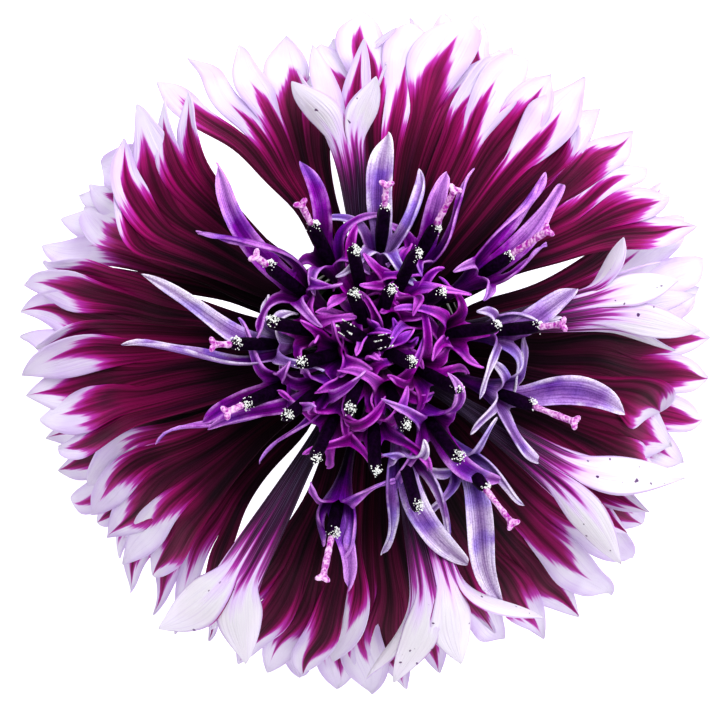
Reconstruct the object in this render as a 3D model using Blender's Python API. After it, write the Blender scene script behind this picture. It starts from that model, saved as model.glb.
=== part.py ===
"""A double, two-tone cornflower head, nipped off just under its green cup and lying face up.

It stands on the cut end of its stem and on the drooping tips of its lowest ray florets.
The stem carries the receptacle. Rows of bracts close round it as a cup, and every floret is
rooted on the receptacle inside that cup, rises through its mouth as a thin tube and opens above:
ray florets arch outwards in three storeys, and disc florets stand up in the middle as a dome.

Lengths are in millimetres and angles in degrees until MM and radians() turn them into Blender's.
The head's axis is Z, and the surface that it lies on is z = 0.
"""

from math import atan, atan2, cos, degrees, exp, hypot, pi, radians, sin

import bmesh
import bpy
from mathutils import Matrix, Vector

MM = 0.001

# The stem and the receptacle, which grew as one piece.
STEM_RADIUS = 1.3
FLANK = ((1.5, 0.9), (4.5, 3.9))
RECEPTACLE_TOP = 5.0
ROUND_STEPS = 18

# The cup of bracts. Row 0 is the innermost and tallest.
BRACT_ROWS = 4
BRACTS_IN_ROW = 9
BRACT_THICKNESS = 0.25
BRACT_STEP = 0.52
BRACT_FOOT = 3.55
BRACT_FOOT_STEP = 0.86
BRACT_TIP_STEP = 2.5
CUP_RADIUS = 5.05
CUP_MOUTH = 12.4

# How the florets stand on the receptacle, and how high their tubes run straight up.
STRAIGHT_TO = 13.0
SEAT_GAP = 0.3
SEAT_APART = 0.86
SEAT_LIMIT = 4.2

# A ray floret's wall, its narrow tube and the place where it starts to open.
WALL = 0.36
TUBE_HALF_WIDTH = 0.26
OPENS_AT = 12.8

# Each storey of ray florets: the radius of its seats, the height where its florets' shoulders
# point, how far out and how high their backs arch, and the height of their tips.
STOREYS = (
    {"seat": 4.2, "shoulder": 15.9, "arch": (14.6, 16.3), "tip": 0.1},
    {"seat": 3.5, "shoulder": 17.3, "arch": (13.6, 18.7), "tip": 6.2},
    {"seat": 2.8, "shoulder": 18.6, "arch": (11.0, 20.4), "tip": 13.4},
)

# Every ray floret: its name, its direction round the head (anticlockwise from +X), how far out its
# tips reach, its storey, its number of lobes, how far it fans out to each side, and how far its
# sides wrap round towards each other.
RAYS = (
    ("a", 187, 21.9, 2, 5, 23, 58),
    ("b", 174, 23.2, 1, 5, 26, 24),
    ("c", 158, 22.3, 0, 5, 27, 16),
    ("d", 148, 21.6, 1, 4, 20, 30),
    ("e", 137, 21.7, 2, 5, 26, 52),
    ("f", 115, 22.4, 0, 5, 29, 18),
    ("g", 97, 18.6, 2, 6, 24, 128),
    ("h", 86, 22.4, 1, 5, 27, 22),
    ("i", 73, 22.5, 0, 5, 26, 16),
    ("j", 60, 21.4, 2, 5, 25, 48),
    ("k", 38, 21.9, 1, 6, 30, 20),
    ("l", 24, 22.9, 0, 4, 17, 22),
    ("m", 9, 20.4, 2, 6, 23, 118),
    ("n", 354, 23.3, 0, 5, 25, -8),
    ("o", 339, 20.4, 1, 4, 18, 20),
    ("p", 325, 20.6, 2, 6, 24, 84),
    ("q", 309, 22.1, 0, 6, 29, 16),
    ("r", 284, 20.9, 2, 6, 27, 108),
    ("s", 267, 23.2, 0, 5, 26, 20),
    ("t", 252, 22.4, 1, 5, 26, 22),
    ("u", 240, 21.7, 2, 6, 22, 110),
    ("v", 231, 23.2, 0, 5, 18, 18),
    ("w", 216, 22.2, 1, 5, 27, 24),
    ("x", 201, 23.0, 0, 5, 22, 16),
)
NOTCH_SHARE = 0.52
TUBE_STATIONS = (0, 7.4, OPENS_AT)
TUBE_ROWS = len(TUBE_STATIONS) - 1
FAN_ROWS = 2
LOBE_ROWS = 3

# Every disc floret: its direction round the head, how far out the tip of its column of anthers
# stands, and how far its style stands out of that column.
DISC = (
    (13, 0.9, 0.0),
    (149, 2.1, 0.0),
    (333, 2.9, 0.0),
    (195, 4.9, 0.0),
    (250, 4.6, 0.0),
    (291, 5.7, 0.0),
    (38, 5.6, 0.0),
    (332, 6.3, 0.0),
    (72, 3.9, 0.0),
    (112, 3.6, 0.0),
    (102, 6.3, 0.0),
    (168, 6.8, 0.0),
    (8, 8.1, 0.0),
    (271, 8.2, 0.0),
    (243, 8.4, 0.0),
    (307, 9.3, 0.0),
    (285, 11.0, 0.0),
    (65, 6.6, 0.0),
    (143, 9.4, 1.2),
    (220, 7.4, 0.0),
    (205, 10.3, 1.4),
    (180, 10.2, 1.4),
    (117, 10.1, 1.8),
    (85, 10.3, 1.8),
    (62, 11.3, 3.2),
    (33, 13.5, 3.4),
    (6, 12.3, 1.8),
    (339, 14.0, 3.4),
    (308, 14.7, 3.4),
    (258, 15.4, 3.2),
)
DISC_SIDES = 5
DISC_SHOULDER = 17.4
DOME_TOP = 27.8
DOME_FALL = 0.021
LEAN_PER_MM = 3.4
THROAT_BACK = 4.8
COROLLA_WALL = 0.3
COLUMN_RADIUS = 0.4
STYLE_RADIUS = 0.24

GREEN = (0.10, 0.16, 0.05)
BRACT_GREEN = (0.13, 0.20, 0.07)
RAY_MAROON = (0.24, 0.01, 0.10)
DISC_VIOLET = (0.20, 0.05, 0.36)


def clear_scene():
    for obj in list(bpy.data.objects):
        bpy.data.objects.remove(obj)


def finish(plan, colour, roughness=0.6):
    """A plain finish for one kind of piece."""
    material = bpy.data.materials.new(plan)
    material.use_nodes = True
    shader = material.node_tree.nodes["Principled BSDF"]
    shader.inputs["Base Color"].default_value = (*colour, 1)
    shader.inputs["Roughness"].default_value = roughness
    return material


def stand(bm, name, material):
    """Turns a bmesh drawn in millimetres into an object."""
    bmesh.ops.scale(bm, vec=(MM, MM, MM), verts=bm.verts)
    mesh = bpy.data.meshes.new(name)
    bm.to_mesh(mesh)
    bm.free()
    mesh.materials.append(material)
    obj = bpy.data.objects.new(name, mesh)
    bpy.context.scene.collection.objects.link(obj)
    return obj


def thicken(obj, thickness):
    """Gives a sheet its wall, half of it on each side."""
    wall = obj.modifiers.new("wall", "SOLIDIFY")
    wall.thickness = thickness * MM
    wall.offset = 0


def outward(azimuth):
    return Vector((cos(radians(azimuth)), sin(radians(azimuth)), 0))


# ---------------------------------------------------------------- stem, receptacle and bracts


def build_stem(material):
    """The cut end of the stem, widening into the receptacle."""
    top = RECEPTACLE_TOP
    profile = (
        (0, 0),
        (STEM_RADIUS, 0),
        (STEM_RADIUS * 0.94, 0.4),
        FLANK[0],
        FLANK[1],
        (FLANK[1][0] * 0.97, top),
        (0, top),
    )
    bm = bmesh.new()
    points = [bm.verts.new((r, 0, z)) for r, z in profile]
    edges = [bm.edges.new(pair) for pair in zip(points, points[1:])]
    bmesh.ops.spin(bm, geom=points + edges, axis=(0, 0, 1), angle=2 * pi, steps=ROUND_STEPS, use_merge=True)
    bmesh.ops.remove_doubles(bm, verts=bm.verts, dist=1e-4)
    bmesh.ops.recalc_face_normals(bm, faces=bm.faces)
    stand(bm, "stem", material)


def flank_radius(height):
    """The radius of the receptacle's flank at a height."""
    low, high = FLANK
    return low[0] + (height - low[1]) * (high[0] - low[0]) / (high[1] - low[1])


def bract_profile(row):
    """A row of bracts in section, from where it leaves the receptacle's flank to its tips."""
    foot = BRACT_FOOT - BRACT_FOOT_STEP * row
    start = flank_radius(foot) + BRACT_STEP
    wall = CUP_RADIUS + BRACT_STEP * row
    bend = max(start + 0.05, wall - 0.45)
    bend_height = foot + 0.364 * (bend - start)
    tip = CUP_MOUTH - BRACT_TIP_STEP * row
    return (
        (start, foot),
        (bend, bend_height),
        (wall, bend_height + 1.0),
        (wall + 0.1, (bend_height + 1.0 + tip) / 2),
        (wall, tip),
    )


def build_bract_row(row, material):
    """One ring of overlapping bracts, joined where they leave the receptacle, with pointed tips."""
    steps = 2 * BRACTS_IN_ROW
    bm = bmesh.new()
    points = [bm.verts.new((r, 0, z)) for r, z in bract_profile(row)]
    edges = [bm.edges.new(pair) for pair in zip(points, points[1:])]
    bmesh.ops.spin(bm, geom=points + edges, axis=(0, 0, 1), angle=2 * pi, steps=steps, use_merge=True)
    bmesh.ops.remove_doubles(bm, verts=bm.verts, dist=1e-4)
    tip = bract_profile(row)[-1][1]
    for vert in bm.verts:
        turn = round(degrees(atan2(vert.co.y, vert.co.x)) / (360 / steps))
        if abs(vert.co.z - tip) < 1e-3 and turn % 2:
            vert.co.z -= 1.5
    bmesh.ops.rotate(bm, verts=bm.verts, matrix=Matrix.Rotation(row * pi / BRACTS_IN_ROW, 3, "Z"))
    bmesh.ops.recalc_face_normals(bm, faces=bm.faces)
    obj = stand(bm, f"bract_row_{row + 1}", material)
    thicken(obj, BRACT_THICKNESS)


# ---------------------------------------------------------------- seats of the florets


def seats():
    """Where each floret is rooted: started under its own direction, then eased apart."""
    spots = [outward(ray[1]) * STOREYS[ray[3]]["seat"] for ray in RAYS]
    spots += [outward(disc[0]) * 0.17 * disc[1] for disc in DISC]
    for _ in range(400):
        for i, one in enumerate(spots):
            for other in spots[i + 1 :]:
                apart = other - one
                short = SEAT_APART - apart.length
                if short > 0:
                    apart.normalize()
                    one -= apart * short / 2
                    other += apart * short / 2
        for spot in spots:
            if spot.length > SEAT_LIMIT:
                spot *= SEAT_LIMIT / spot.length
    return spots[: len(RAYS)], spots[len(RAYS) :]


class Path:
    """A floret's line from its seat up through the cup's mouth and along a bend to its end."""

    def __init__(self, seat, shoulder, arch, end):
        foot = seat + Vector((0, 0, RECEPTACLE_TOP + SEAT_GAP))
        mouth = seat + Vector((0, 0, STRAIGHT_TO))
        self.points = [foot]
        for step in range(41):
            t = step / 40
            rising = mouth * (1 - t) ** 3 + shoulder * 3 * t * (1 - t) ** 2
            falling = arch * 3 * t * t * (1 - t) + end * t**3
            self.points.append(rising + falling)
        self.lengths = [0.0]
        for one, other in zip(self.points, self.points[1:]):
            self.lengths.append(self.lengths[-1] + (other - one).length)
        self.length = self.lengths[-1]

    def at(self, along):
        """(point, direction) at a distance from the seat; past the end it runs straight on."""
        last = len(self.points) - 2
        leg = next((i for i in range(last) if self.lengths[i + 1] >= along), last)
        one, other = self.points[leg], self.points[leg + 1]
        direction = (other - one).normalized()
        return one + direction * (along - self.lengths[leg]), direction


# ---------------------------------------------------------------- ray florets


class Ray:
    """A ray floret: a narrow tube that opens into a fan of pointed lobes.

    It is drawn flat, along and across, and then bent along its path and rolled round it.
    """

    def __init__(self, row, seat):
        self.name, self.azimuth, reach, storey, self.lobes, self.fan, self.wrap = row
        storey = STOREYS[storey]
        out = outward(self.azimuth)
        self.path = Path(
            seat,
            seat + Vector((0, 0, storey["shoulder"])),
            out * storey["arch"][0] + Vector((0, 0, storey["arch"][1])),
            out * reach + Vector((0, 0, storey["tip"])),
        )
        self.side = Vector((-out.y, out.x, 0))
        self.notch = OPENS_AT + NOTCH_SHARE * (self.path.length - OPENS_AT)

    def half_width(self, along):
        """Half the flat width of the floret at a distance along it."""
        past = max(0.0, along - OPENS_AT)
        return TUBE_HALF_WIDTH + sin(radians(self.fan)) * past * past / (past + 1.2)

    def row_point(self, along, across):
        """Flat place of a point of the whole limb; across runs from -1 to 1. Rows bow like arcs."""
        half = self.half_width(along)
        slope = (self.half_width(along + 0.1) - half) / 0.1
        bow = half * atan(slope) / 2
        return along - bow * across * across, half * across

    def lobe_point(self, lobe, share, across):
        """Flat place of a point of one lobe; share runs from its foot, 0, to its tip, 1."""
        middle = (2 * lobe + 1) / self.lobes - 1
        x0, y0 = self.row_point(self.notch, middle)
        x1, y1 = self.row_point(self.notch, middle + across / self.lobes)
        taper = (1 - 0.93 * share) ** 0.8 * (1 + 1.9 * share)
        heading = radians(self.fan) * middle
        length = (self.path.length - self.notch) * (1 - 0.1 * middle * middle)
        return x0 + (x1 - x0) * taper + length * share * cos(heading), y0 + (
            y1 - y0
        ) * taper + length * share * sin(heading)

    def bend(self, along, across):
        """The flat point's place in the head."""
        half = self.half_width(along)
        point, direction = self.path.at(along)
        wrap = radians(self.wrap) * (1 - exp(-(half - TUBE_HALF_WIDTH) / 0.9))
        normal = direction.cross(self.side).normalized()
        side = normal.cross(direction)
        if abs(wrap) < 1e-3:
            return point + side * across
        radius = half / wrap
        return point + side * radius * sin(across / radius) + normal * radius * (1 - cos(across / radius))

    def build(self, material):
        rows = TUBE_ROWS + FAN_ROWS + LOBE_ROWS
        bm = bmesh.new()
        bmesh.ops.create_grid(bm, x_segments=self.lobes, y_segments=rows, size=0.5)
        limb_rows = TUBE_ROWS + FAN_ROWS

        def row_of(vert):
            return round((vert.co.y + 0.5) * rows)

        slits = [
            edge
            for edge in bm.edges
            if min(map(row_of, edge.verts)) >= limb_rows
            and abs(edge.verts[0].co.x - edge.verts[1].co.x) < 1e-6
            and not edge.is_boundary
        ]
        bmesh.ops.split_edges(bm, edges=slits)
        placed = {}
        for vert in bm.verts:
            row, across = row_of(vert), 2 * vert.co.x
            if row <= limb_rows:
                if row <= TUBE_ROWS:
                    along = TUBE_STATIONS[row]
                else:
                    along = OPENS_AT + (self.notch - OPENS_AT) * (row - TUBE_ROWS) / FAN_ROWS
                flat = self.row_point(along, across)
            else:
                column = vert.link_faces[0].calc_center_median().x + 0.5
                lobe = int(column * self.lobes)
                middle = (2 * lobe + 1) / self.lobes - 1
                share = (row - limb_rows) / LOBE_ROWS
                flat = self.lobe_point(lobe, share, (across - middle) * self.lobes)
            placed[vert] = self.bend(*flat)
        for vert, point in placed.items():
            vert.co = point
        thicken(stand(bm, f"ray_floret_{self.name}", material), WALL)


# ---------------------------------------------------------------- disc florets


class Disc:
    """A disc floret: a thread-like tube, a small five-lobed cup and a column of joined anthers."""

    def __init__(self, row, seat):
        azimuth, out_by, self.style = row
        out = outward(azimuth)
        lean = radians(LEAN_PER_MM * out_by)
        self.axis = out * sin(lean) + Vector((0, 0, cos(lean)))
        self.tip = out * out_by + Vector((0, 0, DOME_TOP - DOME_FALL * out_by**2))
        self.anthers = self.tip - self.axis * self.style
        throat = self.tip - self.axis * (THROAT_BACK + 0.6 * self.style)
        self.path = Path(
            seat, seat + Vector((0, 0, DISC_SHOULDER)), throat - self.axis * 3.0, throat
        )
        self.throat = throat
        self.azimuth = azimuth

    def build(self, number, open_radius, material):
        """open_radius is how far the lobes may spread from the floret's own line."""
        bm = bmesh.new()
        bmesh.ops.create_circle(bm, segments=DISC_SIDES, radius=1, cap_ends=True)
        bm.faces.ensure_lookup_table()
        face = bm.faces[0]

        def ring(face, centre, axis, radius):
            """Puts the face's corners in a ring round a point."""
            side = axis.cross(outward(self.azimuth + 90)).normalized()
            front = axis.cross(side)
            for i, vert in enumerate(face.verts):
                turn = 2 * pi * i / DISC_SIDES
                vert.co = centre + (side * cos(turn) + front * sin(turn)) * radius

        def carry(face, centre, axis, radius):
            """Extrudes the face and puts its corners in the next ring."""
            face = bmesh.ops.extrude_discrete_faces(bm, faces=[face])["faces"][0]
            ring(face, centre, axis, radius)
            return face

        cup = min(0.95, open_radius * 0.62)
        base, up = self.path.at(0)
        ring(face, base, up, 0.24)
        for along, radius in ((1.6, 0.3), (3.0, 0.2), (7.2, 0.2)):
            face = carry(face, *self.path.at(along), radius)
        middle = (7.2 + self.path.length) / 2
        face = carry(face, *self.path.at(middle), 0.22)
        face = carry(face, self.throat - self.axis * 1.2, self.axis, 0.42)
        face = carry(face, self.throat + self.axis * 0.5, self.axis, cup)
        face = carry(face, self.throat + self.axis * 0.5, self.axis, cup - COROLLA_WALL)
        rim = [f for e in face.edges for f in e.link_faces if f != face]
        foot = self.throat - self.axis * 0.1
        face = carry(face, foot, self.axis, min(cup - COROLLA_WALL, COLUMN_RADIUS) * 0.96)
        face = carry(face, self.anthers - self.axis * 0.5, self.axis, min(COLUMN_RADIUS, cup * 0.5))
        if self.style:
            face = carry(face, self.anthers, self.axis, STYLE_RADIUS)
            face = carry(face, self.tip, self.axis, STYLE_RADIUS)
        else:
            face = carry(face, self.tip, self.axis, COLUMN_RADIUS * 0.55)
        for length, spread, keep in ((1.3, 0.55, 0.85), (1.2, 1.0, 0.45)):
            rim = bmesh.ops.extrude_discrete_faces(bm, faces=rim)["faces"]
            for petal in rim:
                centre = petal.calc_center_median()
                away = centre - self.throat
                away = (away - self.axis * away.dot(self.axis)).normalized()
                reach = cup + (open_radius - cup) * spread
                now = (centre - self.throat - self.axis * (centre - self.throat).dot(self.axis)).length
                for vert in petal.verts:
                    vert.co = centre + (vert.co - centre) * keep + self.axis * length + away * (reach - now)
        bmesh.ops.holes_fill(bm, edges=[edge for edge in bm.edges if edge.is_boundary])
        bmesh.ops.recalc_face_normals(bm, faces=bm.faces)
        stand(bm, f"disc_floret_{number:02d}", material)


def open_radii(discs):
    """Each disc floret opens as far as half the way to its nearest neighbour, less a gap."""
    lips = [disc.throat + disc.axis * 2.5 for disc in discs]
    found = []
    for lip in lips:
        nearest = min((lip - other).length for other in lips if other is not lip)
        found.append(max(0.75, min(2.3, nearest / 2 - 0.22)))
    return found


def main():
    clear_scene()
    build_stem(finish("stem_green", GREEN))
    bract = finish("bract_green", BRACT_GREEN)
    for row in range(BRACT_ROWS):
        build_bract_row(row, bract)
    ray_seats, disc_seats = seats()
    maroon = finish("ray_petal", RAY_MAROON, 0.5)
    for row, seat in zip(RAYS, ray_seats):
        Ray(row, seat).build(maroon)
    violet = finish("disc_petal", DISC_VIOLET, 0.5)
    discs = [Disc(row, seat) for row, seat in zip(DISC, disc_seats)]
    for number, (disc, radius) in enumerate(zip(discs, open_radii(discs)), 1):
        disc.build(number, radius, violet)


main()
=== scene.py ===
# %% [markdown]
# This scene gives a packed cornflower head its looks. The head is a double one in two tones:
# deep maroon petals that run out into white tips round a dome of violet florets, nipped off just
# under its green cup and lying face up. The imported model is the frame, and every piece made here
# stands where a solid of that model stands. So the frame is loaded first, and its box is kept.
# Lengths are worked out in millimetres, and a finished piece is scaled to metres at the end.

# %% Load the frame
import random
from math import atan, atan2, cos, exp, hypot, pi, radians, sin

import bmesh
import bpy
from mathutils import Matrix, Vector, noise


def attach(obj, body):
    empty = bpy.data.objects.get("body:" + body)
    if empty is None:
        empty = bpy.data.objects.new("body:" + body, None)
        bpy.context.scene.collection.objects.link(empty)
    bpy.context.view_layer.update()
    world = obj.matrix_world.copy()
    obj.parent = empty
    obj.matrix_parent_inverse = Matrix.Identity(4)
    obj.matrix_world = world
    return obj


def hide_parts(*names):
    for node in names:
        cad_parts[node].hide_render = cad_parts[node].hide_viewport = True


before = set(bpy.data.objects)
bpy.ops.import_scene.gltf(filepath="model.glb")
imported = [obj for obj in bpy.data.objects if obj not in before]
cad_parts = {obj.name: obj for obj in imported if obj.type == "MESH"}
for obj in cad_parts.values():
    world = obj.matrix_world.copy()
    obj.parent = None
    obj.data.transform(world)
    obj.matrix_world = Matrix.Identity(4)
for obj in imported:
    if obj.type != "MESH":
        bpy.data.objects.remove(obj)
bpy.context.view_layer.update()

MM = 0.001

# %% [markdown]
# A flower is looked at from straight above here, as one leans over a table. A long lens far away
# keeps the raised middle from looking larger than the low rim. The lens is set from the width that
# it must show, so it could be moved nearer and widened, but then the dome would bulge.

# %% Set up the camera
CAMERA_HEIGHT = 0.62
PETAL_HEIGHT = 0.008
SHOWN_WIDTH = 0.0474
LOOKED_AT = (-0.0008, -0.0010)
SENSOR_WIDTH = 36

camera_data = bpy.data.cameras.new("camera")
camera_data.sensor_width = SENSOR_WIDTH
camera_data.lens = SENSOR_WIDTH * (CAMERA_HEIGHT - PETAL_HEIGHT) / SHOWN_WIDTH
camera_data.clip_start = 0.01
camera = bpy.data.objects.new("camera", camera_data)
camera.location = (*LOOKED_AT, CAMERA_HEIGHT)
bpy.context.scene.collection.objects.link(camera)
bpy.context.scene.camera = camera
print("lens", round(camera_data.lens), "mm")

# %% [markdown]
# The shader sums are long, and as node trees they are hard to read. A small class that wraps a
# socket lets them be written as sums in Python: each sign adds its Math node. Another way is to
# set up every node by name, which takes five times the lines.

# %% Write shader sums as Python sums
class Wire:
    """A socket of a shader tree that Python's signs work on."""

    def __init__(self, tree, socket):
        self.tree, self.socket = tree, socket

    def maths(self, kind, *others, clamp=False, first=None):
        values = (self, *others) if first is None else (first, self)
        settings = {"operation": kind, "use_clamp": clamp}
        return self.tree.node("ShaderNodeMath", settings, dict(enumerate(values)))[0]

    def __add__(self, other):
        return self.maths("ADD", other)

    __radd__ = __add__

    def __sub__(self, other):
        return self.maths("SUBTRACT", other)

    def __rsub__(self, other):
        return self.maths("SUBTRACT", first=other)

    def __mul__(self, other):
        return self.maths("MULTIPLY", other)

    __rmul__ = __mul__

    def __truediv__(self, other):
        return self.maths("DIVIDE", other)

    def __pow__(self, other):
        return self.maths("POWER", other)

    def clamped(self):
        return self.maths("ADD", 0.0, clamp=True)

    def over(self, low, high):
        """0 up to low, 1 from high, and a soft step between."""
        soft = {"interpolation_type": "SMOOTHSTEP"}
        sockets = {0: self, 1: low, 2: high, 3: 0.0, 4: 1.0}
        return self.tree.node("ShaderNodeMapRange", soft, sockets)[0]


class Tree:
    """The node tree of one new material."""

    def __init__(self, name):
        self.material = bpy.data.materials.new(name)
        self.material.use_nodes = True
        self.nodes = self.material.node_tree.nodes
        self.links = self.material.node_tree.links
        self.shader = self.nodes["Principled BSDF"]

    def node(self, kind, settings=None, sockets=None):
        """Adds a node, its settings first, then its sockets. Returns its outputs as wires."""
        new = self.nodes.new(kind)
        for key, value in (settings or {}).items():
            if key == "stops":
                while len(new.color_ramp.elements) < len(value):
                    new.color_ramp.elements.new(0.5)
                for element, (place, colour) in zip(new.color_ramp.elements, value):
                    element.position, element.color = place, (*colour, 1)
            else:
                setattr(new, key, value)
        for key, value in (sockets or {}).items():
            self.feed(new.inputs[key], value)
        return [Wire(self, output) for output in new.outputs]

    def feed(self, socket, value):
        if isinstance(value, Wire):
            self.links.new(value.socket, socket)
        elif isinstance(value, tuple) and socket.type == "RGBA":
            socket.default_value = (*value, 1)
        else:
            socket.default_value = value

    def blend(self, factor, first, second, mode="MIX"):
        """One colour over another."""
        settings = {"data_type": "RGBA", "blend_type": mode}
        return self.node("ShaderNodeMix", settings, {0: factor, 6: first, 7: second})[2]

    def ramp(self, factor, *stops):
        return self.node("ShaderNodeValToRGB", {"stops": stops}, {0: factor})[0]

    def noise_at(self, x, y, z=0.0, detail=2.0):
        """Noise from 0 to 1, about 0.5 on average, at a point given by three values."""
        place = self.node("ShaderNodeCombineXYZ", sockets={0: x, 1: y, 2: z})[0]
        return self.noise_on(place, 1.0, detail)

    def noise_on(self, vector, scale, detail=2.0):
        """The same noise at a vector."""
        sockets = {"Vector": vector, "Scale": scale, "Detail": detail}
        return self.node("ShaderNodeTexNoise", sockets=sockets)[0]

    def dice(self, number):
        """(value, colour) drawn anew for each number."""
        settings = {"noise_dimensions": "1D"}
        return self.node("ShaderNodeTexWhiteNoise", settings, {"W": number})

    def toward(self, place, way):
        """How far a point lies along a way."""
        settings = {"operation": "DOT_PRODUCT"}
        return self.node("ShaderNodeVectorMath", settings, {0: place, 1: way})[1]

    def bump(self, height, distance, strength=1.0):
        sockets = {"Height": height, "Distance": distance, "Strength": strength}
        self.feed(self.shader.inputs["Normal"], self.node("ShaderNodeBump", sockets=sockets)[0])

    def set(self, **values):
        """Sets the main shader's sockets; an underscore stands for a blank."""
        for name, value in values.items():
            self.feed(self.shader.inputs[name.replace("_", " ")], value)

    def let_light_through(self, colour, share):
        """Mixes in the light that comes through a thin petal from behind."""
        glow = self.node("ShaderNodeBsdfTranslucent", sockets={"Color": colour})[0]
        own = Wire(self, self.shader.outputs[0])
        mixed = self.node("ShaderNodeMixShader", sockets={0: share, 1: own, 2: glow})[0]
        self.links.new(mixed.socket, self.nodes["Material Output"].inputs[0])


def strand_of(tree):
    """(across, along, point) of a surface: the two values of its UV map, and its place."""
    source = tree.node("ShaderNodeTexCoord")
    parts = tree.node("ShaderNodeSeparateXYZ", sockets={0: source[2]})
    return parts[0], parts[1], source[3]


def in_lobe(across):
    """(number, local) of the lobe that a point is on; local runs from -1 to 1 across it."""
    lobe = across.maths("FLOOR")
    return lobe, (across - lobe) * 2 - 1


print("shader helpers ready")

# %% [markdown]
# The flower lies on a light table: white glass with a lamp below, which keeps the ground between
# the petals white and shines through the thin pale lobes. A white tent lights it evenly from all
# sides, and one stronger lamp stands high on one side to give the petals form. A point lamp would
# throw hard shadows that hide the dark middle.

# %% Light the table and hang the lamps
TABLE_HALF_WIDTH = 1.5
TABLE_GLOW = 0.75
TENT_GLOW = 0.5

table_mesh = bmesh.new()
bmesh.ops.create_grid(table_mesh, x_segments=2, y_segments=2, size=TABLE_HALF_WIDTH)
table_data = bpy.data.meshes.new("light_table")
table_mesh.to_mesh(table_data)
table_mesh.free()
light_table = bpy.data.objects.new("light_table", table_data)
bpy.context.scene.collection.objects.link(light_table)
table_glass = Tree("white_glass")
_, _, table_place = strand_of(table_glass)
clouding = table_glass.noise_on(table_place, 900.0, 3.0)
table_glass.set(
    Base_Color=table_glass.blend(clouding, (0.93, 0.93, 0.95), (0.97, 0.97, 0.98)),
    Roughness=0.9,
    Emission_Color=(0.97, 0.97, 1.0),
    Emission_Strength=TABLE_GLOW,
)
table_data.materials.append(table_glass.material)

world = bpy.data.worlds.new("tent")
world.use_nodes = True
tent = world.node_tree.nodes["Background"]
tent.inputs["Color"].default_value = (1.0, 1.0, 1.0, 1)
tent.inputs["Strength"].default_value = TENT_GLOW
bpy.context.scene.world = world
bpy.context.scene.view_settings.view_transform = "Standard"
bpy.context.scene.view_settings.look = "Medium High Contrast"


def hang_lamp(name, place, size, power):
    """A square lamp that points at the flower."""
    data = bpy.data.lights.new(name, "AREA")
    data.size, data.energy = size, power
    lamp = bpy.data.objects.new(name, data)
    lamp.location = place
    lamp.rotation_euler = Vector(place).to_track_quat("Z", "Y").to_euler()
    bpy.context.scene.collection.objects.link(lamp)


hang_lamp("high_lamp", (0.10, 0.16, 0.45), 0.22, 1.9)
print("light table and lamp in place")

# %% [markdown]
# Every floret is rooted on the receptacle inside the green cup, and its thread-like tube rises
# straight through the cup's mouth before it opens. The seats are found as growth finds them: each
# floret starts under its own direction, and neighbours then push each other apart.
# A ray floret's row holds its letter, its direction round the head, its storey (0 is the lowest),
# how far it fans out, how far its sides wrap round, and the share of its length where its lobes
# part. Then come the tips of its lobes: direction, reach, height and breadth.

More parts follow.
